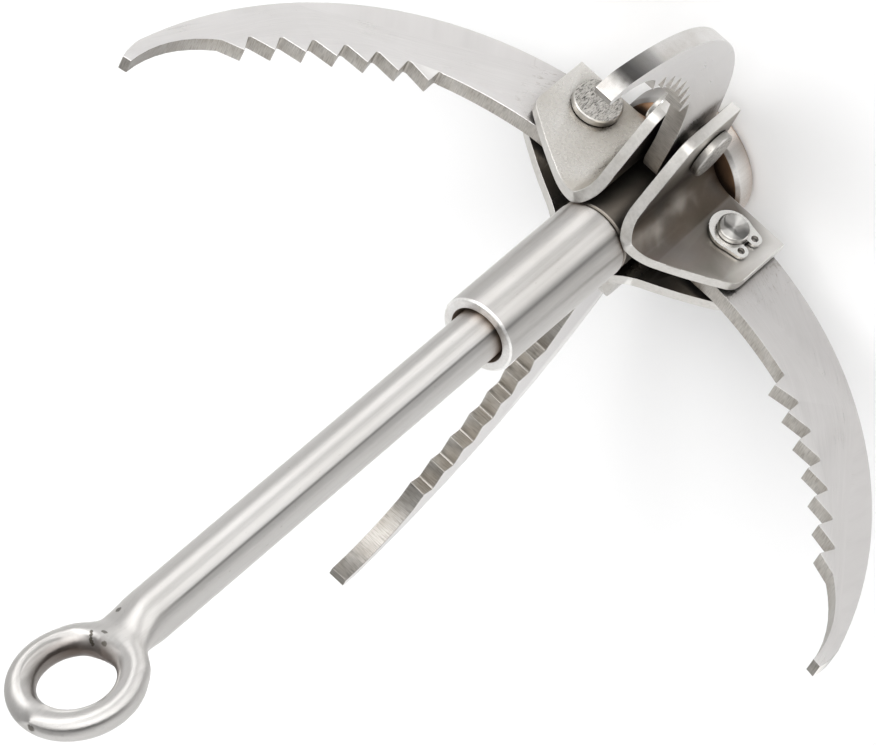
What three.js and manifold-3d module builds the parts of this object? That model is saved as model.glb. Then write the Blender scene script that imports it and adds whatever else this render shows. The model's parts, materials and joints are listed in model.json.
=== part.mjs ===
// Four-claw folding grapnel anchor in stainless steel. Millimetres, +Z up.
// It stands on its end disc with the eye at the top.
// The hub slides up the shank, and each claw folds on its pin.
import * as THREE from "three";
import { mergeVertices } from "three/addons/utils/BufferGeometryUtils.js";
import Module from "manifold-3d";

const wasm = await Module();
wasm.setup();

// ---- driving dimensions ----
const FIT_GAP = 0.3; // clearance between pieces that rest on each other
const FACETS = 40; // facets round a shaft or tube

// shank and eye
const ROD_R = 6;
const EYE_CENTRE_Z = 213.7;
const EYE_RING_R = 11.8; // to the middle of the ring's bar
const EYE_BAR_R = 3.3;
const EYE_TURN_DEG = 27.5; // the ring's plane, turned about the shank from the X axis
const EYE_LEAN_DEG = 6.8; // the hand-set ring leans a little out of the shank's line
const EYE_SHIFT = [-0.82, 0.43]; // and sits a little to one side
const NECK_START_Z = 190;
const NECK_END_Z = 202.8;
const NECK_END_HALF_WIDTH = 8.8;
const NECK_END_HALF_THICKNESS = 2.7;
const NECK_END_SHIFT = [-0.8, -1];
const NECK_STEPS = 10;
const SPIGOT_R = 5; // turned end of the rod, fixed in the disc

// end disc
const DISC_R = 17.4;
const DISC_H = 6.3;
const DISC_CHAMFER = 0.9;

// hub core and guide sleeve
const HUB_FRONT_Z = DISC_H + FIT_GAP;
const HUB_CORE_R = 9.3;
const HUB_CORE_TOP_Z = 38;
const SLEEVE_R = 9.5;
const SLEEVE_BORE_R = 7;
const SLEEVE_START_Z = HUB_CORE_TOP_Z + FIT_GAP;
const SLEEVE_TOP_Z = 79.5;
const SLEEVE_CHAMFER = 0.5;

// folded brackets
const SLOT_HALF = 3.6; // middle of a claw to the face of its bracket wing
const SHEET = 2.8;
const FOLD_APEX_R = SLEEVE_R + FIT_GAP; // the fold's outside clears the sleeve
const WING_REACH = 31.2;
const BRACKET_FRONT_Z = 7.4;
const BRACKET_TOP_Z = 39.2;
const BACK_DROP = 1.6; // the two back brackets were sheared a little shorter
// the wing's upper outline, each point as [distance from the axis, height]
const WING_SIDE_TOP_Z = 22.5;
const WING_CORNER_BEND_Z = 24.9;
const WING_CORNER = [29.6, 26.2];
const WING_SLANT_BEND = [18.2, 34.6];
const WING_SLANT_END_R = 8;
const FOLD_STEPS = 10;
const OUTLINE_STEPS = 14;
const BORE_FACETS = 28;

// claw pivots
const PIVOT_R = 21.2;
const PIVOT_Z = 14.3;
const PIN_R = 4;
const PIN_HOLE_R = PIN_R + FIT_GAP;
const PIN_HEAD_R = 6;
const PIN_HEAD_H = 2;
const PIN_HEAD_GAP = 0.2; // from the wing to the underside of the head
const PIN_HEAD_CHAMFER = 0.35;
const PIN_TAIL = 2.8; // past the wing, on the clip's side
const PIN_TAIL_R = 3.8;
const PIN_END_CHAMFER = 0.3;
const WING_FACE = SLOT_HALF + SHEET;

// retaining clips
const CLIP_THICKNESS = 0.9;
const CLIP_OFFSET = WING_FACE + 0.25;
const GROOVE_R = 3.4;
const GROOVE_SIDE_GAP = 0.15;
const CLIP_INNER_R = 3.6;
const CLIP_OUTER_R = 5.4;
const CLIP_OFF_CENTRE = -0.15; // the ring is thickest opposite its ears' mouth
const CLIP_MOUTH_HALF = 0.85;
const EAR_R = 1.75;
const EAR_HOLE_R = 0.9;
const EAR_REACH = 4.8;
const EAR_SPREAD = 2.6;
const CHEEK_INSET = 0.1; // the cheek starts this far inside the ring
const CHEEK_PAST_EAR = 0.3;

// claws
const CLAW_HALF = 2.25;
const CURVE_STEPS = 8;
const TEETH = 7;
const TOOTH_CENTRE = [118.5, 8]; // height and radius of the circle that the teeth follow
const TOOTH_TIP_R = 91.3;
const TOOTH_ROOT_R = 95;
const TOOTH_FIRST_DEG = 55.3;
const TOOTH_PITCH_DEG = 4.53;
const TOOTH_STEP_DEG = 1.2; // how far a tooth's foot lies past its point
const NOTCH_ROUND = 0.35; // each notch is rounded at its bottom
const NOTCH_ROUND_DEG = 0.4;
const BACK_CENTRE = [100.4, 7.3]; // height and radius of the centre of the claw's back
const BACK_R = 94;
const BACK_STEPS = 30;
const HEEL_R = 8.6;
// the claw's outline, each point as [distance from the axis, height]; a bend is a curve's control point
const TIP_BACK = [99.9, 84];
const TIP_BEND = [100.2, 87.6];
const TIP_END = [99.1, 90.5];
const TIP_INNER = [97, 90];
const INNER_BEND = [97.3, 78.2];
const INNER_END = [88.2, 68.8];
const ROOT_BEND = [39, 29];
const ROOT_START = [27, 26.9];
const ROOT_TOP = [21.5, 26.5];
const SHOULDER_BEND = [12.4, 26];
const SHOULDER_END = [12, 17.5];

// claws round the axis: the front one, then clockwise seen from above.
// open: degrees the claw has dropped; lift: how far its pin was drilled from the common height
const CLAWS = {
  front: { turn: 0, open: 2, lift: 0 },
  left: { turn: -90, open: 4.5, lift: 1.2 },
  back: { turn: -180, open: 7.5, lift: 0 },
  right: { turn: -270, open: 0, lift: 0 },
};

// ---- materials ----
const steel = (color, roughness) =>
  new THREE.MeshStandardMaterial({ color, roughness, metalness: 1 });
const SATIN = steel(0xc9c7c3, 0.32);
const BRUSHED = steel(0xcfcecb, 0.42);
const SHEET_STEEL = steel(0xb4b0a8, 0.36);
const PIN_STEEL = steel(0xb9b8b4, 0.45);
const CLIP_STEEL = steel(0xd6d5d1, 0.22);

const group = new THREE.Group();
group.name = "grapnel_anchor";

// ---- helpers ----
const rad = THREE.MathUtils.degToRad;

function solid(geometry) {
  const bare = geometry.clone();
  bare.deleteAttribute("normal");
  bare.deleteAttribute("uv");
  const merged = mergeVertices(bare, 1e-5);
  return new wasm.Manifold(
    new wasm.Mesh({
      numProp: 3,
      vertProperties: new Float32Array(merged.attributes.position.array),
      triVerts: new Uint32Array(merged.index.array),
    }),
  );
}

function geometryOf(manifold) {
  const mesh = manifold.getMesh();
  const geometry = new THREE.BufferGeometry();
  const points = [];
  for (let i = 0; i < mesh.vertProperties.length; i += mesh.numProp) {
    points.push(mesh.vertProperties[i], mesh.vertProperties[i + 1], mesh.vertProperties[i + 2]);
  }
  geometry.setAttribute("position", new THREE.Float32BufferAttribute(points, 3));
  geometry.setIndex(Array.from(mesh.triVerts));
  return geometry;
}

function add(name, manifold, material) {
  const geometry = geometryOf(manifold).toNonIndexed();
  geometry.computeVertexNormals();
  const mesh = new THREE.Mesh(geometry, material);
  mesh.name = name;
  group.add(mesh);
}

// A body of revolution about Z. Points are [radius, height].
function turned(points, facets = FACETS) {
  const profile = points.map(([r, z]) => new THREE.Vector2(r, z));
  return solid(new THREE.LatheGeometry(profile, facets).rotateX(Math.PI / 2));
}

// A flat plate whose outline is in the X-Y plane, from z = low to z = high.
function plate(shape, low, high, curveSegments = 12) {
  const geometry = new THREE.ExtrudeGeometry(shape, {
    depth: high - low,
    bevelEnabled: false,
    curveSegments,
  });
  return solid(geometry.translate(0, 0, low));
}

// A tube along X, standing on the claw's pivot.
function alongPivot(manifold, lift) {
  return manifold.rotate([0, 90, 0]).translate([0, -PIVOT_R, PIVOT_Z + lift]);
}

// ---- shank, eye and disc ----
function neck() {
  const rings = [];
  for (let i = 0; i <= NECK_STEPS; i += 1) {
    const s = i / NECK_STEPS;
    const flare = s ** 3;
    const thin = s * s * (3 - 2 * s);
    rings.push({
      z: NECK_START_Z + s * (NECK_END_Z - NECK_START_Z),
      wide: ROD_R + flare * (NECK_END_HALF_WIDTH - ROD_R),
      thick: ROD_R + thin * (NECK_END_HALF_THICKNESS - ROD_R),
      across: s * s * NECK_END_SHIFT[0],
      lean: s * s * NECK_END_SHIFT[1],
    });
  }
  const points = [];
  for (const { z, wide, thick, across, lean } of rings) {
    for (let k = 0; k < FACETS; k += 1) {
      const a = (2 * Math.PI * k) / FACETS;
      points.push(across + wide * Math.cos(a), lean + thick * Math.sin(a), z);
    }
  }
  const bottom = points.length / 3;
  points.push(0, 0, NECK_START_Z);
  const top = bottom + 1;
  points.push(...NECK_END_SHIFT, NECK_END_Z);
  const faces = [];
  for (let k = 0; k < FACETS; k += 1) {
    const next = (k + 1) % FACETS;
    for (let i = 0; i < NECK_STEPS; i += 1) {
      const a = i * FACETS + k;
      const b = i * FACETS + next;
      faces.push(a, b, b + FACETS, a, b + FACETS, a + FACETS);
    }
    faces.push(bottom, next, k);
    faces.push(top, NECK_STEPS * FACETS + k, NECK_STEPS * FACETS + next);
  }
  const geometry = new THREE.BufferGeometry();
  geometry.setAttribute("position", new THREE.Float32BufferAttribute(points, 3));
  geometry.setIndex(faces);
  return solid(geometry);
}

const rod = turned([
  [0, 0],
  [SPIGOT_R, 0],
  [SPIGOT_R, HUB_FRONT_Z],
  [ROD_R, HUB_FRONT_Z],
  [ROD_R, NECK_START_Z + 0.5],
  [0, NECK_START_Z + 0.5],
]);
const ring = solid(new THREE.TorusGeometry(EYE_RING_R, EYE_BAR_R, 20, 52))
  .rotate([90 - EYE_LEAN_DEG, 0, 0])
  .translate([...EYE_SHIFT, EYE_CENTRE_Z]);
add("shank_with_eye", rod.add(neck().add(ring).rotate([0, 0, EYE_TURN_DEG])), SATIN);

const disc = turned([
  [0, 0],
  [DISC_R - DISC_CHAMFER, 0],
  [DISC_R, DISC_CHAMFER],
  [DISC_R, DISC_H - DISC_CHAMFER],
  [DISC_R - DISC_CHAMFER, DISC_H],
  [0, DISC_H],
], 64);
const spigotHole = turned([
  [0, -1],
  [SPIGOT_R + FIT_GAP, -1],
  [SPIGOT_R + FIT_GAP, DISC_H + 1],
  [0, DISC_H + 1],
]);
add("end_disc", disc.subtract(spigotHole), BRUSHED);

// ---- sleeve and hub core ----
function tube(outer, bore, low, high, chamfer) {
  return turned([
    [bore, low],
    [outer - chamfer, low],
    [outer, low + chamfer],
    [outer, high - chamfer],
    [outer - chamfer, high],
    [bore, high],
    [bore, low],
  ]);
}

add("guide_sleeve", tube(SLEEVE_R, SLEEVE_BORE_R, SLEEVE_START_Z, SLEEVE_TOP_Z, SLEEVE_CHAMFER), SATIN);
add("hub_core", tube(HUB_CORE_R, SLEEVE_BORE_R, HUB_FRONT_Z, HUB_CORE_TOP_Z, SLEEVE_CHAMFER), SATIN);

// ---- brackets: sheet folded square, one in each quarter between two claws ----
const FOLD_OUTER_R = (FOLD_APEX_R - SLOT_HALF * Math.SQRT2) / (Math.SQRT2 - 1);
const FOLD_CENTRE = SLOT_HALF + FOLD_OUTER_R;

function foldedSection() {
  const shape = new THREE.Shape();
  shape.moveTo(WING_REACH, SLOT_HALF);
  shape.lineTo(WING_REACH, WING_FACE);
  shape.lineTo(FOLD_CENTRE, WING_FACE);
  shape.absarc(FOLD_CENTRE, FOLD_CENTRE, FOLD_OUTER_R - SHEET, -Math.PI / 2, Math.PI, true);
  shape.lineTo(WING_FACE, WING_REACH);
  shape.lineTo(SLOT_HALF, WING_REACH);
  shape.lineTo(SLOT_HALF, FOLD_CENTRE);
  shape.absarc(FOLD_CENTRE, FOLD_CENTRE, FOLD_OUTER_R, Math.PI, Math.PI * 1.5, false);
  return shape;
}

// The wing's outline: X is the distance from the axis, Y is the height. drop lowers its slant.
function wingOutline(drop) {
  const shape = new THREE.Shape();
  shape.moveTo(0, BRACKET_FRONT_Z);
  shape.lineTo(WING_REACH, BRACKET_FRONT_Z);
  shape.lineTo(WING_REACH, WING_SIDE_TOP_Z - drop);
  shape.quadraticCurveTo(WING_REACH, WING_CORNER_BEND_Z - drop, WING_CORNER[0], WING_CORNER[1] - drop);
  shape.quadraticCurveTo(
    WING_SLANT_BEND[0],
    WING_SLANT_BEND[1] - drop,
    WING_SLANT_END_R,
    BRACKET_TOP_Z - drop,
  );
  shape.lineTo(0, BRACKET_TOP_Z - drop);
  return shape;
}

// One bracket in the quarter between +X and +Y, with the pin holes of the claws beside it.
function bracket(liftOnX, liftOnY, drop) {
  const folded = plate(foldedSection(), BRACKET_FRONT_Z - 1, BRACKET_TOP_Z + 1, FOLD_STEPS);
  const outline = plate(wingOutline(drop), -WING_REACH - 1, WING_REACH + 1, OUTLINE_STEPS);
  const alongX = outline.rotate([90, 0, 0]);
  const alongY = alongX.rotate([0, 0, 90]);
  const hole = turned([
    [0, -WING_REACH - 1],
    [PIN_HOLE_R, -WING_REACH - 1],
    [PIN_HOLE_R, WING_REACH + 1],
    [0, WING_REACH + 1],
  ], BORE_FACETS);
  const holeAlongY = hole.rotate([90, 0, 0]).translate([PIVOT_R, 0, PIVOT_Z + liftOnX]);
  const holeAlongX = hole.rotate([0, 90, 0]).translate([0, PIVOT_R, PIVOT_Z + liftOnY]);
  return folded.intersect(alongX).intersect(alongY).subtract(holeAlongY).subtract(holeAlongX);
}

const QUARTERS = [
  { name: "front_right", beside: ["front", "right"], turn: -90, drop: 0 },
  { name: "front_left", beside: ["left", "front"], turn: 180, drop: 0 },
  { name: "back_left", beside: ["back", "left"], turn: 90, drop: BACK_DROP },
  { name: "back_right", beside: ["right", "back"], turn: 0, drop: BACK_DROP },
];
for (const { name, beside, turn, drop } of QUARTERS) {
  const [liftOnX, liftOnY] = beside.map((side) => CLAWS[side].lift);
  add(`bracket_${name}`, bracket(liftOnX, liftOnY, drop).rotate([0, 0, turn]), SHEET_STEEL);
}

// ---- pins and clips, made along Z from the claw's middle plane: head below, clip above ----
function pin() {
  const under = -WING_FACE - PIN_HEAD_GAP;
  const groove = CLIP_OFFSET - GROOVE_SIDE_GAP;
  const grooveEnd = CLIP_OFFSET + CLIP_THICKNESS + GROOVE_SIDE_GAP;
  const tail = WING_FACE + PIN_TAIL;
  return turned([
    [0, under - PIN_HEAD_H],
    [PIN_HEAD_R - PIN_HEAD_CHAMFER, under - PIN_HEAD_H],
    [PIN_HEAD_R, under - PIN_HEAD_H + PIN_HEAD_CHAMFER],
    [PIN_HEAD_R, under],
    [PIN_R, under],
    [PIN_R, groove],
    [GROOVE_R, groove],
    [GROOVE_R, grooveEnd],
    [PIN_TAIL_R, grooveEnd],
    [PIN_TAIL_R, tail - PIN_END_CHAMFER],
    [PIN_TAIL_R - PIN_END_CHAMFER, tail],
    [0, tail],
  ], 32);
}

function disk(r, x, y, low, high, facets = 20) {
  return turned([
    [0, low],
    [r, low],
    [r, high],
    [0, high],
  ], facets).translate([x, y, 0]);
}

function clip() {
  const low = CLIP_OFFSET;
  const high = CLIP_OFFSET + CLIP_THICKNESS;
  const past = 1;
  const mouth = new THREE.Shape();
  mouth.moveTo(0, -CLIP_MOUTH_HALF);
  mouth.lineTo(PIN_HEAD_R * 2, -CLIP_MOUTH_HALF);
  mouth.lineTo(PIN_HEAD_R * 2, CLIP_MOUTH_HALF);
  mouth.lineTo(0, CLIP_MOUTH_HALF);
  let ringBody = disk(CLIP_OUTER_R, CLIP_OFF_CENTRE, 0, low, high, 32);
  for (const side of [-1, 1]) {
    const cheek = new THREE.Shape();
    cheek.moveTo(0, side * (CLIP_OUTER_R - CHEEK_INSET));
    cheek.lineTo(EAR_REACH + CHEEK_PAST_EAR, side * (EAR_SPREAD + EAR_R));
    cheek.lineTo(EAR_REACH, 0);
    cheek.lineTo(0, 0);
    ringBody = ringBody
      .add(plate(cheek, low, high))
      .add(disk(EAR_R, EAR_REACH, side * EAR_SPREAD, low, high));
  }
  ringBody = ringBody
    .subtract(disk(CLIP_INNER_R, 0, 0, low - past, high + past, 32))
    .subtract(plate(mouth, low - past, high + past));
  for (const side of [-1, 1]) {
    ringBody = ringBody.subtract(
      disk(EAR_HOLE_R, EAR_REACH, side * EAR_SPREAD, low - past, high + past, 12),
    );
  }
  return ringBody.rotate([0, 0, -90]);
}

// ---- claws: outline in X = distance from the axis, Y = height ----
function onCircle([height, radius], r, degrees) {
  const a = rad(degrees);
  return [radius + r * Math.sin(a), height - r * Math.cos(a)];
}

const HEEL_TO = rad(240); // where the heel's arc meets the back

function clawOutline() {
  const shape = new THREE.Shape();
  shape.moveTo(...TIP_BACK);
  // the point: a short blunt end
  shape.quadraticCurveTo(...TIP_BEND, ...TIP_END);
  shape.lineTo(...TIP_INNER);
  // smooth stretch inside the point
  shape.quadraticCurveTo(...INNER_BEND, ...INNER_END);
  for (let k = 0; k < TEETH; k += 1) {
    const at = TOOTH_FIRST_DEG - k * TOOTH_PITCH_DEG;
    const foot = at - TOOTH_STEP_DEG;
    shape.lineTo(...onCircle(TOOTH_CENTRE, TOOTH_TIP_R, at));
    shape.lineTo(...onCircle(TOOTH_CENTRE, TOOTH_ROOT_R - NOTCH_ROUND, foot + NOTCH_ROUND_DEG / 2));
    shape.quadraticCurveTo(
      ...onCircle(TOOTH_CENTRE, TOOTH_ROOT_R, foot),
      ...onCircle(TOOTH_CENTRE, TOOTH_ROOT_R - NOTCH_ROUND, foot - NOTCH_ROUND_DEG),
    );
  }
  // root, rounded so that it turns beside the hub core
  shape.quadraticCurveTo(...ROOT_BEND, ...ROOT_START);
  shape.lineTo(...ROOT_TOP);
  shape.quadraticCurveTo(...SHOULDER_BEND, ...SHOULDER_END);
  shape.lineTo(PIVOT_R - HEEL_R, PIVOT_Z);
  // heel, round about the pin so that it clears the disc as the claw folds
  shape.absarc(PIVOT_R, PIVOT_Z, HEEL_R, Math.PI, HEEL_TO, false);
  const heelEnd = [PIVOT_R + HEEL_R * Math.cos(HEEL_TO), PIVOT_Z + HEEL_R * Math.sin(HEEL_TO)];
  // back of the claw, one long arc
  const from = Math.atan2(heelEnd[1] - BACK_CENTRE[0], heelEnd[0] - BACK_CENTRE[1]);
  const to = Math.atan2(TIP_BACK[1] - BACK_CENTRE[0], TIP_BACK[0] - BACK_CENTRE[1]);
  for (let k = 1; k < BACK_STEPS; k += 1) {
    const a = from + ((to - from) * k) / BACK_STEPS;
    shape.lineTo(BACK_CENTRE[1] + BACK_R * Math.cos(a), BACK_CENTRE[0] + BACK_R * Math.sin(a));
  }
  return shape;
}

function claw(openDegrees, lift) {
  const height = PIVOT_Z + lift;
  const bore = disk(PIN_HOLE_R, PIVOT_R, height, -CLAW_HALF - 1, CLAW_HALF + 1, 32);
  const flat = plate(clawOutline(), -CLAW_HALF, CLAW_HALF, CURVE_STEPS).subtract(bore);
  const opened = flat
    .translate([-PIVOT_R, -height, 0])
    .rotate([0, 0, -openDegrees])
    .translate([PIVOT_R, height, 0]);
  return opened.rotate([90, 0, 0]).rotate([0, 0, -90]);
}

const onePin = pin();
const oneClip = clip();
for (const [name, { turn, open, lift }] of Object.entries(CLAWS)) {
  add(`claw_${name}`, claw(open, lift).rotate([0, 0, turn]), BRUSHED);
  add(`pivot_pin_${name}`, alongPivot(onePin, lift).rotate([0, 0, turn]), PIN_STEEL);
  add(`retaining_clip_${name}`, alongPivot(oneClip, lift).rotate([0, 0, turn]), CLIP_STEEL);
}

export default group;
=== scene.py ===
import json
import math

import bmesh
import bpy
import numpy as np
from mathutils import Matrix, Vector


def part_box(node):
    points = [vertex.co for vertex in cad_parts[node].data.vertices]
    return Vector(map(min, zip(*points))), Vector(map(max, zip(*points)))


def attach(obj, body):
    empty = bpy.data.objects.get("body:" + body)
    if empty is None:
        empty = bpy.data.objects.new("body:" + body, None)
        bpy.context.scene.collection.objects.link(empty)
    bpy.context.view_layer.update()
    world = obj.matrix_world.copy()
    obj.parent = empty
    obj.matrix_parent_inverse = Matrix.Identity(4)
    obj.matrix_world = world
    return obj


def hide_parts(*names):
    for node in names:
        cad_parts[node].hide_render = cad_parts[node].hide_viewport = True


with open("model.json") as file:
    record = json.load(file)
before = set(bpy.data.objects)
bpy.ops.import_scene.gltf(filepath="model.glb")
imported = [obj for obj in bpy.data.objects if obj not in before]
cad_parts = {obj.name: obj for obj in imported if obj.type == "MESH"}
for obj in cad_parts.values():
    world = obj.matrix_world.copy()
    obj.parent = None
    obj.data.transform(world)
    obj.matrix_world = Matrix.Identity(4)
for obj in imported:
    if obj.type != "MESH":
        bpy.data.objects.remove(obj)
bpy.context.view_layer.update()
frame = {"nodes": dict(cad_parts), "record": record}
BODY_OF = {
    node: body
    for body, nodes in frame["record"]["behaviour"]["bodies"].items()
    for node in nodes
}
MM = 0.001

# the way each claw points, and the middle of its pin
OUT = {"front": (0, -1), "left": (-1, 0), "back": (0, 1), "right": (1, 0)}
PIVOTS = {
    j["child"].split("_")[0]: Vector(j["pos_m"])
    for j in frame["record"]["behaviour"]["joints"]
    if j["type"] == "hinge"
}

# Grain maps hold lengths in metres. A claw's U runs round the centre of its curved back.
BACK_CENTRE = (0.0073, 0.1004)  # radius and height of that centre
BLADE_R = 0.09  # turns an angle about it into a length along the blade
EDGE_SLANT = 0.3  # how fast U also grows outwards on the edges, so that square steps get marks too
ANGLE_UNIT = 0.001  # turns an angle about a pin into a length

# ---------------------------------------------------------------- materials
WHITE = (1.0, 1.0, 1.0)
BRIGHT_METAL = (0.93, 0.92, 0.90)
RUBBED_METAL = (0.90, 0.89, 0.87)
DULL_METAL = (0.30, 0.27, 0.24)
# the colour that painted shade in corners multiplies by
CORNER_SHADE_TINT = (0.30, 0.27, 0.23)
NOISE_LOW, NOISE_HIGH = 0.3, 0.7  # most of a noise lies between these
WORN_POINTINESS = (0.52, 0.62)  # from an edge that is just worn to one that is fully worn
BRUSH_TURN = 0.25  # a quarter turn: the gloss spreads across the marks that run along the tangent


def times(colour, factor):
    """A colour made darker or lighter."""
    return tuple(min(1, c * factor) for c in colour)


class Nodes:
    """A small helper that adds and links shader nodes in one tree."""

    def __init__(self, tree):
        self.tree = tree

    def add(self, kind, **settings):
        node = self.tree.nodes.new(kind)
        for key, value in settings.items():
            setattr(node, key, value)
        return node

    def link(self, a, b):
        self.tree.links.new(a, b)

    def feed(self, socket, value):
        """Gives a socket a number, a colour or what another node puts out."""
        if isinstance(value, tuple):
            socket.default_value = (*value, 1)
        elif isinstance(value, (int, float)):
            socket.default_value = value
        else:
            self.link(value, socket)

    def split(self, vector):
        node = self.add("ShaderNodeSeparateXYZ")
        self.link(vector, node.inputs[0])
        return node.outputs

    def scaled(self, vector, scale, shift=(0, 0, 0)):
        node = self.add("ShaderNodeMapping")
        node.inputs["Scale"].default_value = scale
        node.inputs["Location"].default_value = shift
        self.link(vector, node.inputs["Vector"])
        return node.outputs[0]

    def noise(self, vector, per_metre, detail, rough, warp=0.0, shift=(0, 0, 0)):
        """Noise with its own number of waves a metre along each axis."""
        node = self.add("ShaderNodeTexNoise")
        node.inputs["Scale"].default_value = 1.0
        node.inputs["Detail"].default_value = detail
        node.inputs["Roughness"].default_value = rough
        node.inputs["Distortion"].default_value = warp
        self.link(self.scaled(vector, per_metre, shift), node.inputs["Vector"])
        return node.outputs["Fac"]

    def ramp(self, value, stops, blend="LINEAR"):
        node = self.add("ShaderNodeValToRGB")
        ramp = node.color_ramp
        ramp.interpolation = blend
        while len(ramp.elements) > 1:
            ramp.elements.remove(ramp.elements[-1])
        for k, (at, colour) in enumerate(stops):
            e = ramp.elements[0] if k == 0 else ramp.elements.new(at)
            e.position = at
            e.color = (*colour, 1)
        self.link(value, node.inputs[0])
        return node.outputs[0]

    def looked_up(self, value, levels, tint=WHITE, blend="LINEAR"):
        """The tint at the level that a list of (value, level) gives."""
        first, last = levels[0][0], levels[-1][0]
        stops = [((at - first) / (last - first), times(tint, level)) for at, level in levels]
        return self.ramp(self.range(value, first, last), stops, blend)

    def math(self, op, a, b=None):
        node = self.add("ShaderNodeMath", operation=op)
        self.feed(node.inputs[0], a)
        if b is not None:
            self.feed(node.inputs[1], b)
        return node.outputs[0]

    def vector(self, op, a, b=None, out=0):
        node = self.add("ShaderNodeVectorMath", operation=op)
        self.link(a, node.inputs[0])
        if b is not None:
            node.inputs[1].default_value = b
        return node.outputs[out]

    def range(self, value, low, high, to_low=0.0, to_high=1.0):
        node = self.add("ShaderNodeMapRange")
        for name, v in zip(("From Min", "From Max", "To Min", "To Max"), (low, high, to_low, to_high)):
            node.inputs[name].default_value = v
        self.link(value, node.inputs["Value"])
        return node.outputs["Result"]

    def spread(self, noise, low, high):
        """A noise made to run from low to high."""
        return self.range(noise, NOISE_LOW, NOISE_HIGH, low, high)

    def mix(self, fac, a, b, mode="MIX"):
        node = self.add("ShaderNodeMix", data_type="RGBA", blend_type=mode)
        for k, value in ((0, fac), (6, a), (7, b)):
            self.feed(node.inputs[k], value)
        return node.outputs[2]

    def tones(self, value, base, stops):
        """The base colour, darker or lighter by the factors in the stops."""
        return self.ramp(value, [(at, times(base, factor)) for at, factor in stops])

    def shade(self, colour, value, low, high, dark):
        """Multiplied by dark where the value is low, and unchanged where it is high."""
        return self.mix(1.0, colour, self.ramp(value, [(low, dark), (high, WHITE)]), "MULTIPLY")

    def dotted(self, colour, noise, low, high, depth, dark):
        """Small dark dots at the peaks of a noise."""
        return self.mix(self.range(noise, low, high, 0.0, depth), colour, dark)

    def worn(self, colour, amount, bright):
        """Brighter on worn outside edges, found from the shape of the surface itself."""
        geo = self.add("ShaderNodeNewGeometry")
        edge = self.range(geo.outputs["Pointiness"], *WORN_POINTINESS)
        return self.mix(self.math("MULTIPLY", edge, amount), colour, bright)

    def corner_shade(self, colour, depth, reach, dark=CORNER_SHADE_TINT, low=0.30, high=0.95):
        """Painted shade: darker where another surface comes close, as in the corners round pins and folds.
        """
        node = self.add("ShaderNodeAmbientOcclusion", samples=6)
        node.inputs["Distance"].default_value = reach
        shut = self.range(node.outputs["AO"], low, high, depth, 0.0)
        return self.mix(shut, colour, self.mix(1.0, colour, dark, "MULTIPLY"))

    def gloss(self, rough, fine, fine_span, cloud, cloud_span):
        """Roughness that varies with a fine noise and drifts with a broad one."""
        near = self.spread(fine, rough + fine_span[0], rough + fine_span[1])
        return self.math("ADD", near, self.spread(cloud, *cloud_span))

    def bump(self, height, strength, distance, normal=None):
        node = self.add("ShaderNodeBump")
        node.inputs["Strength"].default_value = strength
        node.inputs["Distance"].default_value = distance
        self.link(height, node.inputs["Height"])
        if normal is not None:
            self.link(normal, node.inputs["Normal"])
        return node.outputs[0]


class Surface(Nodes):
    """The nodes of one material, a metal unless it is changed."""

    def __init__(self, name):
        self.mat = bpy.data.materials.new(name)
        self.mat.use_nodes = True
        super().__init__(self.mat.node_tree)
        self.tree.nodes.clear()
        out = self.add("ShaderNodeOutputMaterial")
        self.bsdf = self.add("ShaderNodeBsdfPrincipled")
        self.link(self.bsdf.outputs[0], out.inputs[0])
        self.bsdf.inputs["Metallic"].default_value = 1.0

    def position(self):
        """Object coordinates in metres."""
        return self.add("ShaderNodeTexCoord").outputs["Object"]

    def grain_map(self):
        return self.add("ShaderNodeUVMap", uv_map="grain").outputs[0]

    def finish(self, colour, rough, normal, brushed=0.0, tangent="grain"):
        """brushed is how far the gloss spreads. The tangent is an axis to go round, or the grain map."""
        self.link(colour, self.bsdf.inputs["Base Color"])
        self.link(rough, self.bsdf.inputs["Roughness"])
        self.link(normal, self.bsdf.inputs["Normal"])
        if brushed:
            self.bsdf.inputs["Anisotropic"].default_value = brushed
            self.bsdf.inputs["Anisotropic Rotation"].default_value = BRUSH_TURN
            node = self.add("ShaderNodeTangent")
            if tangent == "grain":
                node.direction_type = "UV_MAP"
                node.uv_map = tangent
            else:
                node.direction_type = "RADIAL"
                node.axis = tangent
            self.link(node.outputs[0], self.bsdf.inputs["Tangent"])
        return self.mat


# the shank, in millimetres: the eye's plane is turned about Z and leans over
ROD_R = 6.0
EYE_R, EYE_BAR_R, TURN, LEAN = 11.8, 3.3, math.radians(27.5), math.radians(6.8)
EYE_MID = np.array([-0.82, 0.43, 213.7])
NECK = (190.0, 202.8)
NECK_WIDE, NECK_THIN = 8.8, 2.7
NECK_SHIFT = (-0.8, -1.0)
NECK_OVERLAP = 1.0
JOIN_SOFTNESS = 2.2
COS_T, SIN_T = math.cos(TURN), math.sin(TURN)
COS_L, SIN_L = math.cos(LEAN), math.sin(LEAN)

# the eye's centre in metres, the axis of its hole, and the way from its centre to its top
EYE_CENTRE = (
    (COS_T * EYE_MID[0] - SIN_T * EYE_MID[1]) * MM,
    (SIN_T * EYE_MID[0] + COS_T * EYE_MID[1]) * MM,
    EYE_MID[2] * MM,
)
EYE_AXIS = (-SIN_T * COS_L, COS_T * COS_L, -SIN_L)
EYE_UP = (-SIN_T * SIN_L, COS_T * SIN_L, COS_L)
RINGS_FADE = (0.190, 0.203)  # heights between which the polishing rings give way to the neck

# brown scale in the eye: distances from the hole's axis between which it thins out, then how deep it is
# low and high in the hole
SCALE_BROWN = (0.085, 0.062, 0.050)
SCALE_REACH, SCALE_WOBBLE = (0.0085, 0.0109), 0.0005
SCALE_HEIGHTS, SCALE_DEPTHS = (-0.006, 0.011), (0.93, 0.30)

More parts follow.
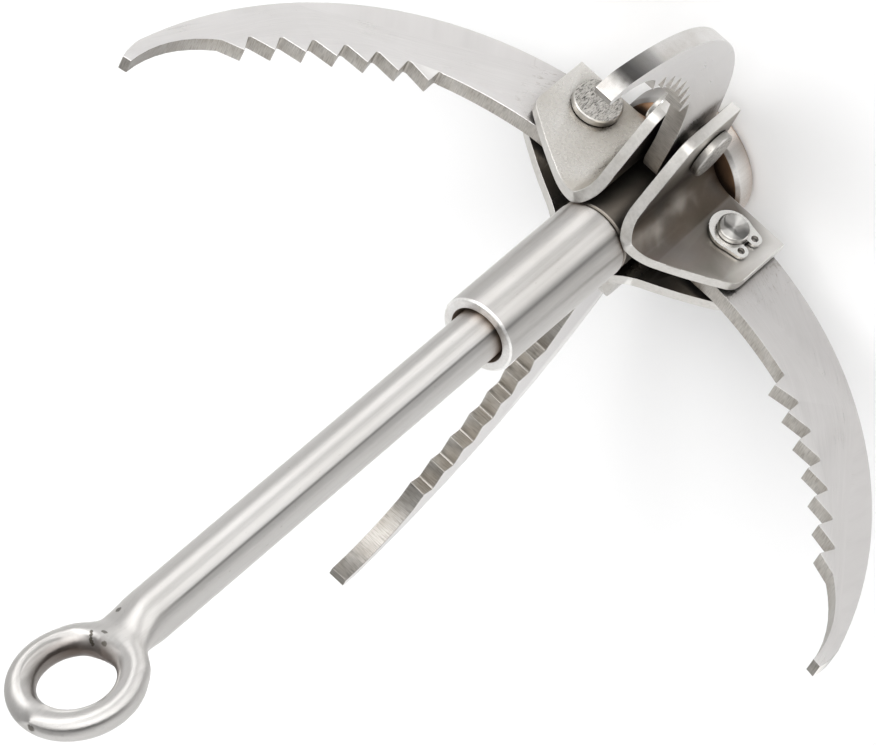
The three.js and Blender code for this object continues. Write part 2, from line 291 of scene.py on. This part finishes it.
# forging laps and pits near the eye: place and half-widths in millimetres, and how dark
LAP_DARK = (0.07, 0.06, 0.045)
LAP_EDGE, LAP_WOBBLE = (0.75, 1.1), 0.3
FORGING_MARKS = [
    ((4.54, -2.41, 195.63), (0.75, 0.75, 0.65), 0.75),
    ((-1.99, 0.73, 228.69), (0.90, 0.90, 0.60), 0.75),
    ((4.77, -2.38, 203.88), (0.40, 0.50, 0.45), 0.85),
    ((4.24, -2.37, 204.52), (0.40, 0.50, 0.45), 0.85),
    ((3.76, -1.97, 204.89), (0.40, 0.50, 0.45), 0.85),
    ((3.17, -1.63, 205.18), (0.40, 0.50, 0.45), 0.85),
    ((2.60, -1.49, 205.28), (0.36, 0.50, 0.40), 0.85),
    ((2.56, -3.77, 202.58), (0.80, 0.60, 0.40), 0.70),
    ((0.62, -3.60, 204.60), (0.75, 0.80, 0.45), 0.70),
]

# painted dark reflections as lines down the bar and the tube, and broad painted shade on the disc's rim:
# azimuth, half-widths of core and fringe in degrees, depth, top in metres
BAR_LINE = (-117.6, 0.5, 4.0, 0.62, 0.194)
TUBE_LINE = (-121.5, 0.5, 4.0, 0.55, 0.3)
RIM_LINE = (-12, 25, 62, 0.85, 0.1)
LINE_FADE = 0.012  # length over which a line runs out at its top

# rub marks where a claw's plate swings between the brackets: along the claw, they start, are full,
# begin to fade and end
RUBBED = (0.0195, 0.022, 0.027, 0.034)

# painted shade in the fold of the front-left bracket: how far it is darkened towards brown, by distance
# out from the shank's axis, and the browns it takes
FOLD_SHADE = [
    (0.0, 0.3), (0.0065, 0.55), (0.0095, 0.95), (0.012, 1.0), (0.016, 0.96), (0.020, 0.90), (0.0245, 0.72),
    (0.028, 0.48), (0.031, 0.30),
]
FOLD_SHADE_HUES = [(0.35, (0.155, 0.140, 0.115)), (0.5, (0.205, 0.175, 0.155)), (0.65, (0.215, 0.205, 0.205))]
FOLD_SHADE_WARP = 0.0035

# painted reflection on the smooth back of a claw: how light it is, by distance along it towards the tip,
# with a dark band and then a bright patch at the tip
PAINTED_BACK_REFLECTION = [
    (0.1200, 0.61), (0.1371, 0.61), (0.1391, 0.50), (0.1408, 0.34), (0.1429, 0.24), (0.1449, 0.20),
    (0.1468, 0.13), (0.1489, 0.08), (0.1509, 0.08), (0.1526, 0.21), (0.1542, 0.66), (0.1556, 0.98),
    (0.1600, 1.0),
]

# the same for the inner edge and the point, which are duller towards the tip
TIP_WEAR = [(0.110, 1.0), (0.135, 0.86), (0.148, 0.66), (0.160, 0.58)]
WEAR_AND_REFLECTION_TINT = (1, 0.985, 0.97)
WEAR_AND_REFLECTION_WARP = 0.0004

# painted shade: sheet near the disc is darker than sheet further up, between these heights
LOW_SHADE, LOW_HEIGHTS = (0.74, 0.725, 0.70), (0.008, 0.031)

# painted reflection: a turned end has this many bright sectors about its middle, with dark ones painted
# between them, where a small centre mark is left
PAINTED_GLOSS_SECTORS = 2
CENTRE_MARK = (0.0002, 0.0004)


# painted reflection and shade: darker along a band down a round piece at one azimuth, running out at its
# top
def painted_dark_line(n, colour, x, y, z, base, line):
    azimuth, core, fringe, depth, top = line
    away = n.math("SUBTRACT", n.math("ARCTAN2", y, x), math.radians(azimuth))
    away = n.math("ABSOLUTE", away)
    near = n.range(away, math.radians(core), math.radians(fringe), depth, 0.0)
    near = n.math("MULTIPLY", near, n.range(z, top - LINE_FADE, top, 1.0, 0.0))
    return n.mix(near, colour, times(base, 0.3))


def eye_scale(n, colour, at, cloud):
    """Brown scale left inside the eye, thickest on the side next to the neck."""
    away = n.vector("SUBTRACT", at, EYE_CENTRE)
    off = n.vector("DOT_PRODUCT", away, EYE_AXIS, "Value")
    reach = n.vector("LENGTH", away, None, "Value")
    r = n.math("SQRT", n.math("SUBTRACT", n.math("MULTIPLY", reach, reach), n.math("MULTIPLY", off, off)))
    r = n.math("ADD", r, n.spread(cloud, -SCALE_WOBBLE, SCALE_WOBBLE))
    height = n.vector("DOT_PRODUCT", away, EYE_UP, "Value")
    depth = n.range(height, *SCALE_HEIGHTS, *SCALE_DEPTHS)
    depth = n.math("MULTIPLY", n.range(r, *SCALE_REACH, 1.0, 0.0), depth)
    return n.mix(depth, colour, SCALE_BROWN)


def forging_marks(n, colour, at, marks):
    wobble = n.noise(at, (900, 900, 900), 2.0, 0.5)
    for spot, halves, depth in marks:
        scale = tuple(1 / (h * MM) for h in halves)
        shift = tuple(-p / h for p, h in zip(spot, halves))
        near = n.vector("LENGTH", n.scaled(at, scale, shift), None, "Value")
        edge = n.math("ADD", near, n.spread(wobble, -LAP_WOBBLE, LAP_WOBBLE))
        colour = n.mix(n.range(edge, *LAP_EDGE, depth, 0.0), colour, LAP_DARK)
    return colour


def round_bar(name, base, rough, line, eye=False):
    """Satin bar or tube about Z: fine rings left by polishing, and long faint streaks.
    eye adds what only the end with the eye has: its scale and its forging marks."""
    n = Surface(name)
    at = n.position()
    streaks = n.noise(at, (900, 900, 9), 3.0, 0.6)
    cloud = n.noise(at, (70, 70, 22), 4.0, 0.6)
    rings = n.noise(at, (25, 25, 5200), 2.0, 0.5)
    specks = n.noise(at, (1500, 1500, 700), 2.0, 0.5)
    x, y, z = n.split(at)
    colour = n.tones(streaks, base, [(0.25, 0.89), (0.5, 1), (0.75, 1.05)])
    colour = n.shade(colour, cloud, 0.3, 0.65, (0.90, 0.895, 0.885))
    colour = n.dotted(colour, specks, 0.70, 0.78, 0.25, (0.25, 0.22, 0.19))
    # painted shade, brownish, in hollows and where other parts come close
    colour = n.corner_shade(colour, 0.9, 0.0075, (0.42, 0.31, 0.23), 0.45, 0.90)
    # painted reflection of a dark edge as a line down the bar, or broad painted shade on the disc's rim
    colour = painted_dark_line(n, colour, x, y, z, base, line)
    if eye:
        colour = eye_scale(n, colour, at, cloud)
        colour = forging_marks(n, colour, at, FORGING_MARKS)
    gloss = n.gloss(rough, streaks, (-0.05, 0.05), cloud, (-0.03, 0.04))
    rings = n.math("MULTIPLY", rings, n.range(z, *RINGS_FADE, 1.0, 0.1))
    normal = n.bump(rings, 0.10, 0.00003)
    normal = n.bump(streaks, 0.10, 0.00003, normal)
    return n.finish(colour, gloss, normal, 1.0, "Z")


def brushed_flat(name, base, rough):
    """Plate face brushed along its length; the grain map's U runs along the blade."""
    n = Surface(name)
    uv = n.grain_map()
    fine = n.noise(uv, (90, 5200, 1), 4.0, 0.65)
    coarse = n.noise(uv, (26, 900, 1), 3.0, 0.5)
    cloud = n.noise(uv, (60, 90, 1), 4.0, 0.6)
    pits = n.noise(uv, (900, 1300, 1), 2.0, 0.5)
    scuff = n.noise(uv, (420, 1500, 1), 5.0, 0.7, 1.2)
    along = n.split(uv)[0]
    colour = n.tones(fine, base, [(0.25, 0.86), (0.5, 1), (0.75, 1.07)])
    colour = n.mix(n.range(coarse, 0.35, 0.65, 0.0, 0.5), colour, times(base, 0.93))
    colour = n.shade(colour, cloud, 0.3, 0.7, (0.95, 0.945, 0.94))
    colour = n.dotted(colour, pits, 0.72, 0.80, 0.35, DULL_METAL)
    start, full, fade, end = RUBBED
    near = n.math("MULTIPLY", n.range(along, start, full), n.range(along, end, fade))
    scuff = n.math("MULTIPLY", near, n.range(scuff, 0.57, 0.64, 0.0, 0.85))
    colour = n.mix(scuff, colour, DULL_METAL)
    # painted shade where other parts come close
    colour = n.corner_shade(colour, 0.6, 0.004)
    colour = n.worn(colour, 0.6, BRIGHT_METAL)
    gloss = n.gloss(rough, fine, (-0.06, 0.06), cloud, (-0.04, 0.05))
    normal = n.bump(fine, 0.22, 0.00004)
    normal = n.bump(scuff, 0.3, 0.00006, normal)
    return n.finish(colour, gloss, normal, 0.55)


def cut_edge(name, base, rough, depth, wear_and_reflection):
    """Sheared or laser-cut edge: fine striations across the plate's thickness, some burrs.
    depth is how strong they are, and the last argument how light the edge is along its length: wear on the
    inner edge, and a painted reflection on the claw's back."""
    n = Surface(name)
    uv = n.grain_map()
    lines = n.noise(uv, (5200, 260, 1), 2.0, 0.55)
    blotch = n.noise(uv, (160, 220, 1), 5.0, 0.65)
    grain = n.noise(n.position(), (1600, 1600, 1600), 3.0, 0.6)
    colour = n.tones(lines, base, [(0.3, 1 - 0.30 * depth), (0.52, 1), (0.72, 1 + 0.14 * depth)])
    colour = n.shade(colour, blotch, 0.3, 0.62, (0.80, 0.78, 0.75))
    colour = n.dotted(colour, grain, 0.66, 0.76, 0.45 * depth, (0.26, 0.22, 0.17))
    along = n.math("ADD", n.split(uv)[0], n.spread(blotch, -WEAR_AND_REFLECTION_WARP, WEAR_AND_REFLECTION_WARP))
    # lightness along the edge: wear on the inner edge, a painted reflection on the claw's back
    colour = n.mix(1.0, colour, n.looked_up(along, wear_and_reflection, WEAR_AND_REFLECTION_TINT), "MULTIPLY")
    # painted shade where other parts come close
    colour = n.corner_shade(colour, 0.55, 0.004)
    gloss = n.spread(lines, rough - 0.08 * depth, rough + 0.10 * depth)
    normal = n.bump(lines, 0.35 * depth, 0.00005)
    normal = n.bump(grain, 0.25, 0.00005, normal)
    return n.finish(colour, gloss, normal)


def sheet_face(name, base, rough, tint=()):
    """Smooth rolled sheet, with painted shade near its folds and low down near the disc.
    tint lists the painted shade near the fold, a darkening towards brown, by distance out from the shank's
    axis."""
    n = Surface(name)
    at = n.position()
    cloud = n.noise(at, (38, 38, 38), 2.0, 0.45, 0.4)
    fine = n.noise(at, (1100, 1100, 1100), 4.0, 0.6)
    specks = n.noise(at, (1300, 1300, 1300), 2.0, 0.5)
    x, y, z = n.split(at)
    colour = n.tones(fine, base, [(0.3, 0.95), (0.7, 1.03)])
    colour = n.shade(colour, cloud, 0.32, 0.62, (0.80, 0.77, 0.72))
    # painted shade: darker low down, near the disc
    colour = n.shade(colour, n.range(z, *LOW_HEIGHTS), 0.0, 1.0, LOW_SHADE)
    # painted shade: a brownish darkening near the bracket's fold
    if tint:
        warp = n.noise(at, (90, 90, 90), 2.0, 0.5, 0.6)
        out = n.math("MAXIMUM", n.math("ABSOLUTE", x), n.math("ABSOLUTE", y))
        out = n.math("ADD", out, n.spread(warp, FOLD_SHADE_WARP, -FOLD_SHADE_WARP))
        darkened = n.looked_up(out, tint, blend="B_SPLINE")
        hue = n.ramp(n.noise(at, (60, 60, 60), 2.0, 0.5, shift=(3, 1, 2)), FOLD_SHADE_HUES)
        colour = n.mix(darkened, colour, n.mix(1.0, colour, hue, "MULTIPLY"))
    colour = n.dotted(colour, specks, 0.76, 0.84, 0.35, (0.17, 0.14, 0.11))
    # painted shade in folds and where other parts come close
    colour = n.corner_shade(colour, 0.9, 0.0045, (0.16, 0.135, 0.11), 0.42, 0.92)
    colour = n.worn(colour, 0.7, RUBBED_METAL)
    gloss = n.gloss(rough, fine, (-0.02, 0.03), cloud, (0.04, -0.02))
    normal = n.bump(fine, 0.04, 0.00002)
    normal = n.bump(cloud, 0.16, 0.0012, normal)
    return n.finish(colour, gloss, normal)


def pin_face(name, base, rough):
    """Sawn end face with coarse wavy marks that run across it."""
    n = Surface(name)
    uv = n.grain_map()
    marks = n.noise(uv, (700, 2900, 1), 4.0, 0.65, 1.1)
    cloud = n.noise(uv, (350, 500, 1), 4.0, 0.6)
    colour = n.tones(marks, base, [(0.38, 0.22), (0.5, 1), (0.62, 1.25)])
    colour = n.shade(colour, cloud, 0.3, 0.62, (0.80, 0.79, 0.77))
    gloss = n.spread(marks, rough + 0.08, rough - 0.06)
    return n.finish(colour, gloss, n.bump(marks, 0.9, 0.00012))


def turned_face(name, base, rough, axis):
    """Lathe-turned end face about the given axis, with a painted reflection of its gloss in bright and
    dark sectors.
    """
    n = Surface(name)
    uv = n.grain_map()
    rings = n.noise(uv, (6500, 1, 1), 2.0, 0.5)
    cloud = n.noise(n.position(), (600, 600, 600), 3.0, 0.6)
    r, angle, _ = n.split(uv)
    colour = n.tones(rings, base, [(0.3, 0.84), (0.7, 1.1)])
    sector = n.math("COSINE", n.math("MULTIPLY", angle, PAINTED_GLOSS_SECTORS / ANGLE_UNIT))
    # painted reflection: dark sectors between the bright ones
    colour = n.mix(n.range(sector, -0.1, 0.85, 0.0, 0.8), colour, times(base, 0.30))
    colour = n.mix(n.range(r, *CENTRE_MARK, 0.9, 0.0), colour, (0.05, 0.045, 0.04))
    gloss = n.spread(cloud, rough - 0.04, rough + 0.05)
    return n.finish(colour, gloss, n.bump(rings, 0.12, 0.00003), 1.0, axis)


def plain_steel(name, base, rough):
    """Small turned or pressed parts: fine grain, light smudges, bright edges."""
    n = Surface(name)
    at = n.position()
    fine = n.noise(at, (1400, 1400, 1400), 4.0, 0.6)
    cloud = n.noise(at, (240, 240, 240), 4.0, 0.6)
    colour = n.tones(fine, base, [(0.3, 0.88), (0.7, 1.06)])
    colour = n.shade(colour, cloud, 0.3, 0.62, (0.86, 0.85, 0.83))
    # painted shade round pins and clips, where other parts come close
    colour = n.corner_shade(colour, 0.85, 0.0025, (0.16, 0.14, 0.12))
    colour = n.worn(colour, 0.6, BRIGHT_METAL)
    gloss = n.gloss(rough, fine, (-0.05, 0.06), cloud, (-0.04, 0.05))
    return n.finish(colour, gloss, n.bump(fine, 0.15, 0.00004))


METALS = {
    "bar": round_bar("satin_bar_steel", (0.60, 0.587, 0.572), 0.40, BAR_LINE, eye=True),
    "tube": round_bar("satin_tube_steel", (0.58, 0.566, 0.55), 0.41, TUBE_LINE),
    "tube_end": plain_steel("tube_end_steel", (0.80, 0.79, 0.775), 0.34),
    "plate": brushed_flat("brushed_plate_steel", (0.625, 0.61, 0.605), 0.33),
    # painted shade: the left claw's plates are a darker copy of the plate metal, for the dimmer light on
    # that side
    "plate_shaded": brushed_flat("brushed_plate_steel_shaded", (0.52, 0.505, 0.50), 0.33),
    "plate_edge": cut_edge("cut_edge_steel", (0.50, 0.485, 0.46), 0.38, 1.25, TIP_WEAR),
    # painted reflection on the claw's back: a dark band and a bright patch near the tip
    "plate_back": cut_edge("smooth_edge_steel", (0.97, 0.96, 0.95), 0.24, 0.12, PAINTED_BACK_REFLECTION),
    # the hub core is given a dark colour
    "core": sheet_face("dark_core_steel", (0.30, 0.27, 0.24), 0.42),
    "sheet": sheet_face("rolled_sheet_steel", (0.60, 0.58, 0.55), 0.27),
    "sheet_fold_shaded": sheet_face("fold_shaded_sheet_steel", (0.66, 0.64, 0.61), 0.38, FOLD_SHADE),
    # painted shade: a dark copy of the sheet for the faces beside the claw, down in the narrow slot
    "sheet_inner": sheet_face("slot_shaded_sheet_steel", (0.22, 0.195, 0.165), 0.36),
    "sheet_edge": plain_steel("sheared_edge_steel", (0.58, 0.565, 0.54), 0.40),
    "disc_face": sheet_face("disc_face_steel", (0.74, 0.46, 0.29), 0.42),
    "disc_rim": round_bar("disc_rim_steel", (0.97, 0.95, 0.93), 0.40, RIM_LINE),
    "pin": plain_steel("pin_steel", (0.44, 0.425, 0.40), 0.32),
    "pin_head": pin_face("pin_head_steel", (0.50, 0.485, 0.46), 0.34),
    "pin_end_x": turned_face("pin_end_steel_x", (0.56, 0.55, 0.53), 0.52, "X"),
    "pin_end_y": turned_face("pin_end_steel_y", (0.56, 0.55, 0.53), 0.52, "Y"),
    "clip": plain_steel("spring_clip_steel", (0.66, 0.65, 0.63), 0.22),
}


# ---------------------------------------------------------------- meshes
WELD = 1e-6
FLAT_ANGLE = math.radians(0.6)


def copied(node):
    """A welded copy of a CAD node with its flat triangles joined into clean faces."""
    source = frame["nodes"][node]
    bm = bmesh.new()
    bm.from_mesh(source.data)
    bmesh.ops.remove_doubles(bm, verts=bm.verts, dist=WELD)
    bmesh.ops.dissolve_limit(
        bm,
        angle_limit=FLAT_ANGLE,
        use_dissolve_boundaries=False,
        verts=bm.verts,
        edges=bm.edges,
    )
    bmesh.ops.recalc_face_normals(bm, faces=bm.faces)
    return bm


def place(node, bm, metals, kinds=None, grain=None, bevel=0.0, segments=2, sharp=32):
    """Puts a detailed mesh in the scene in place of its CAD node.
    kinds(face) picks one of the metals, and grain(face, point) gives the brushing map's U and V.
    Edges of more than the sharp angle, in degrees, are kept and bevelled."""
    for face in bm.faces:
        face.smooth = True
        face.material_index = kinds(face) if kinds else 0
    for edge in bm.edges:
        if len(edge.link_faces) == 2:
            edge.smooth = edge.calc_face_angle(0.0) < math.radians(sharp)
    if grain:
        layer = bm.loops.layers.uv.new("grain")
        for face in bm.faces:
            for loop in face.loops:
                loop[layer].uv = grain(face, loop.vert.co)
    mesh = bpy.data.meshes.new(node + "_detail")
    bm.to_mesh(mesh)
    bm.free()
    for metal in metals:
        mesh.materials.append(METALS[metal])
    obj = bpy.data.objects.new(node + "_detail", mesh)
    bpy.context.scene.collection.objects.link(obj)
    if bevel:
        mod = obj.modifiers.new("edges", "BEVEL")
        mod.width = bevel
        mod.segments = segments
        mod.limit_method = "ANGLE"
        mod.angle_limit = math.radians(sharp)
        mod.harden_normals = True
        mod.miter_outer = "MITER_ARC"
    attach(obj, BODY_OF[node])
    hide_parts(node)


# --- shank: one smooth skin over bar, neck and eye
SKIN_FROM = 7.6  # height in millimetres from which the skin is drawn to the smooth shape
SKIN_STEPS = 6
LONGEST_STEP = 0.5
FLATTEST = 0.05  # keeps a step short where the field is nearly flat
PROBE = 0.01
VOXEL = 0.00055


def eye_frame(p):
    """Points in millimetres, turned so that the eye's plane is X-Z."""
    return np.stack([COS_T * p[:, 0] + SIN_T * p[:, 1], COS_T * p[:, 1] - SIN_T * p[:, 0], p[:, 2]], 1)


def blend_min(a, b, k):
    """The lesser of two fields, rounded where they meet."""
    h = np.clip(0.5 + 0.5 * (b - a) / k, 0, 1)
    return b + (a - b) * h - k * h * (1 - h)


def shank_field(p):
    """Distance-like field of the bar, its drawn neck and the ring, with soft joins."""
    q = eye_frame(p)
    s = np.clip((q[:, 2] - NECK[0]) / (NECK[1] - NECK[0]), 0, 1)
    wide = ROD_R + s**3 * (NECK_WIDE - ROD_R)
    thin = ROD_R + s * s * (3 - 2 * s) * (NECK_THIN - ROD_R)
    x = q[:, 0] - s * s * NECK_SHIFT[0]
    y = q[:, 1] - s * s * NECK_SHIFT[1]
    k = np.sqrt((x / wide) ** 2 + (y / thin) ** 2)
    bar = (k - 1) * np.minimum(wide, thin)
    bar = np.maximum(bar, q[:, 2] - (NECK[1] + NECK_OVERLAP))
    d = q - EYE_MID
    up = d[:, 2] * COS_L + d[:, 1] * SIN_L
    off = d[:, 1] * COS_L - d[:, 2] * SIN_L
    ring = np.hypot(np.hypot(d[:, 0], up) - EYE_R, off) - EYE_BAR_R
    return blend_min(bar, ring, JOIN_SOFTNESS)


def shank_slope(p):
    """How fast the field grows along each axis."""
    ways = np.eye(3) * PROBE
    return np.stack([(shank_field(p + way) - shank_field(p - way)) / (2 * PROBE) for way in ways], 1)


def shank_mesh():
    """The CAD shank cut into even faces, whose points are then moved onto the smooth shape."""
    source = frame["nodes"]["shank_with_eye"]
    low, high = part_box("shank_with_eye")
    rough_cut = bpy.data.objects.new("rough_cut", source.data.copy())
    bpy.context.scene.collection.objects.link(rough_cut)
    weld = rough_cut.modifiers.new("weld", "WELD")
    weld.merge_threshold = WELD
    cut = rough_cut.modifiers.new("remesh", "REMESH")
    cut.mode = "VOXEL"
    cut.voxel_size = VOXEL
    graph = bpy.context.evaluated_depsgraph_get()
    mesh = bpy.data.meshes.new_from_object(rough_cut.evaluated_get(graph))
    bpy.data.objects.remove(rough_cut)
    p = np.empty(len(mesh.vertices) * 3)
    mesh.vertices.foreach_get("co", p)
    p = p.reshape(-1, 3) / MM
    skin = p[:, 2] > SKIN_FROM
    for _ in range(SKIN_STEPS):
        slope = shank_slope(p)
        step = (shank_field(p) / np.maximum((slope**2).sum(1), FLATTEST))[:, None] * slope
        length = np.linalg.norm(step, axis=1, keepdims=True)
        step *= np.minimum(1, LONGEST_STEP / np.maximum(length, 1e-9))
        p[skin] -= step[skin]
    p = np.clip(p * MM, np.array(low), np.array(high))
    mesh.vertices.foreach_set("co", p.reshape(-1))
    mesh.update()
    bm = bmesh.new()
    bm.from_mesh(mesh)
    bpy.data.meshes.remove(mesh)
    return bm


place("shank_with_eye", shank_mesh(), ["bar"], sharp=60)


# --- disc, sleeve and hub core
def end_or_side(steep):
    """Picks the first metal for faces whose normal rises more than steep, and the second for others."""
    return lambda face: 0 if abs(face.normal.z) > steep else 1


place("end_disc", copied("end_disc"), ["disc_face", "disc_rim"], end_or_side(0.95), bevel=0.00022)
place("guide_sleeve", copied("guide_sleeve"), ["tube_end", "tube"], end_or_side(0.6), bevel=0.00018)
place("hub_core", copied("hub_core"), ["core"], bevel=0.00018)


# --- brackets
CLAW_SIDE = 0.0037  # a wing's face towards the claw lies nearer than this to the claw's middle plane
WING_END = 0.0309
FACING = 0.9  # a face looks along an axis when its normal has more than this of it


def bracket_kind(face):
    """0 for a wing's outer face, 1 for a cut edge, and 2 for the face beside the claw."""
    n, c = face.normal, face.calc_center_median()
    if abs(n.z) > 0.12:
        return 1
    if min(abs(c.x), abs(c.y)) < CLAW_SIDE:
        return 2
    at_end = max(abs(c.x), abs(c.y)) > WING_END
    along = abs(n.x) > FACING if abs(c.x) > abs(c.y) else abs(n.y) > FACING
    return 1 if at_end and along else 0


for name in [node for node in frame["nodes"] if node.startswith("bracket_")]:
    # the front-left bracket takes the painted shade near its fold
    sheet = "sheet_fold_shaded" if name == "bracket_front_left" else "sheet"
    metals = [sheet, "sheet_edge", "sheet_inner"]
    place(name, copied(name), metals, bracket_kind, bevel=0.00032, segments=3)

# --- claws
BACK_FROM = 0.02  # the curved back starts beyond the boss round the pin


def claw_parts(side):
    ox, oy = OUT[side]

    def kind(face):
        """0 for the plate's flat sides, 2 for its curved back, and 1 for the other edges."""
        across = abs(face.normal.x * oy - face.normal.y * ox)
        if across > FACING:
            return 0
        mid = face.calc_center_median()
        r = mid.x * ox + mid.y * oy
        out = Vector((r - BACK_CENTRE[0], mid.z - BACK_CENTRE[1]))
        way = Vector((face.normal.x * ox + face.normal.y * oy, face.normal.z))
        return 2 if r > BACK_FROM and out.dot(way) > FACING * out.length else 1

    def grain(face, p):
        r = p.x * ox + p.y * oy
        a = math.atan2(r - BACK_CENTRE[0], BACK_CENTRE[1] - p.z)
        far = math.hypot(r - BACK_CENTRE[0], BACK_CENTRE[1] - p.z)
        if kind(face) == 0:
            return (a * BLADE_R, far)
        return (a * BLADE_R + EDGE_SLANT * far, p.x * oy - p.y * ox)

    return kind, grain


for side in OUT:
    # the left claw takes the darker copy of the plate metal, painted shade
    plate = "plate_shaded" if side == "left" else "plate"
    metals = [plate, "plate_edge", "plate_back"]
    place(f"claw_{side}", copied(f"claw_{side}"), metals, *claw_parts(side), bevel=0.00022)

# --- pins and clips
END_DEPTH = 0.0004


def pin_parts(side):
    out = Vector((*OUT[side], 0))
    axis = Vector((-out.y, out.x, 0))
    mid = PIVOTS[side]
    reaches = [(v.co - mid).dot(axis) for v in frame["nodes"][f"pivot_pin_{side}"].data.vertices]
    head, end = min(reaches), max(reaches)

    def kind(face):
        """1 for the sawn face of the head, 2 for the turned end, and 0 for the rest."""
        if abs(face.normal.dot(axis)) < FACING:
            return 0
        reach = (face.calc_center_median() - mid).dot(axis)
        if abs(reach - head) < END_DEPTH:
            return 1
        return 2 if abs(reach - end) < END_DEPTH else 0

    def grain(face, p):
        d = p - mid
        if kind(face) == 2:
            r = d - axis * d.dot(axis)
            return (r.length, math.atan2(r.z, r.dot(out)) * ANGLE_UNIT)
        return (d.z, d.dot(out))

    return kind, grain


for side in OUT:
    metals = ["pin", "pin_head", "pin_end_x" if OUT[side][0] == 0 else "pin_end_y"]
    place(f"pivot_pin_{side}", copied(f"pivot_pin_{side}"), metals, *pin_parts(side), bevel=0.0002)
    place(f"retaining_clip_{side}", copied(f"retaining_clip_{side}"), ["clip"], bevel=0.0002)

# ---------------------------------------------------------------- stage
FLOOR_HALF = 6.0
FLOOR_Z = -0.0004
FLOOR_GREY = 0.93


def floor():
    bm = bmesh.new()
    bmesh.ops.create_grid(bm, x_segments=1, y_segments=1, size=FLOOR_HALF)
    mesh = bpy.data.meshes.new("floor")
    bm.to_mesh(mesh)
    bm.free()
    n = Surface("pale_floor")
    n.bsdf.inputs["Metallic"].default_value = 0.0
    n.bsdf.inputs["Specular IOR Level"].default_value = 0.1
    n.bsdf.inputs["Roughness"].default_value = 0.9
    n.feed(n.bsdf.inputs["Base Color"], (FLOOR_GREY, FLOOR_GREY, FLOOR_GREY))
    mesh.materials.append(n.mat)
    obj = bpy.data.objects.new("floor", mesh)
    obj.location.z = FLOOR_Z
    bpy.context.scene.collection.objects.link(obj)


LAMP_ELEVATION = math.radians(89)
LAMP_DISTANCE = 2.0
LAMP_SIDE = 1.6
LAMP_POWER = 2
LAMP_TARGET = Vector((0, 0, 0.1))


def top_lamp():
    """A soft square lamp almost straight above."""
    way = Vector((math.cos(LAMP_ELEVATION), 0, math.sin(LAMP_ELEVATION)))
    data = bpy.data.lights.new("top", "AREA")
    data.shape = "RECTANGLE"
    data.size = LAMP_SIDE
    data.size_y = LAMP_SIDE
    data.energy = LAMP_POWER
    obj = bpy.data.objects.new("top", data)
    obj.location = LAMP_TARGET + way * LAMP_DISTANCE
    obj.rotation_euler = way.to_track_quat("Z", "Y").to_euler()
    bpy.context.scene.collection.objects.link(obj)


# brightness of the studio's soft panels and of the gaps between them, by azimuth in degrees
PANELS = [
    (-180, 1.45), (-166, 1.35), (-156, 0.6), (-143, 0.10), (-141, 0.0), (-126.6, 0.0), (-125.6, 3.3),
    (-108, 4.5), (-92, 4.6), (-80, 3.2), (-72, 1.8), (-62, 2.5), (-56, 5.2), (-33, 5.5), (-27, 0.9),
    (180, 1.45),
]
BRIGHTEST = max(value for _, value in PANELS)

# the panels end and a dim ceiling begins between two heights, given as sines of the elevation
CEILING, CEILING_HEIGHTS = 1.1, (0.62, 0.86)

# the brightest panels are held down to this near the horizon, and are free again further up
HORIZON, HORIZON_HEIGHTS = 1.12, (0.10, 0.30)


def studio():
    world = bpy.data.worlds.new("studio")
    world.use_nodes = True
    n = Nodes(world.node_tree)
    x, y, z = n.split(n.add("ShaderNodeTexCoord").outputs["Generated"])
    levels = [(math.radians(azimuth), value / BRIGHTEST) for azimuth, value in PANELS]
    panels = n.looked_up(n.math("ARCTAN2", y, x), levels)
    lit = n.math("MULTIPLY", panels, n.range(z, *CEILING_HEIGHTS, BRIGHTEST, CEILING))
    level = n.math("MINIMUM", lit, n.range(z, *HORIZON_HEIGHTS, HORIZON, BRIGHTEST))
    sky = n.tree.nodes["Background"]
    n.feed(sky.inputs[0], WHITE)
    n.link(level, sky.inputs[1])
    bpy.context.scene.world = world


floor()
studio()
top_lamp()

# ---------------------------------------------------------------- camera
CAMERA_AT = (-0.20588, -0.98987, 0.80842)
CAMERA_RIGHT = (-0.72454, -0.29828, -0.62135)
CAMERA_UP = (0.66900, -0.52118, -0.52991)
CAMERA_BACK = (-0.16578, -0.79962, 0.57717)

camera = bpy.data.objects.new("camera", bpy.data.cameras.new("camera"))
camera.data.lens = 233.9
camera.data.sensor_width = 36
camera.data.clip_start = 0.1
camera.data.clip_end = 50
turn = Matrix((CAMERA_RIGHT, CAMERA_UP, CAMERA_BACK)).transposed().to_4x4()
camera.matrix_world = Matrix.Translation(CAMERA_AT) @ turn
bpy.context.scene.collection.objects.link(camera)
bpy.context.scene.camera = camera
bpy.context.scene.view_settings.view_transform = "Standard"
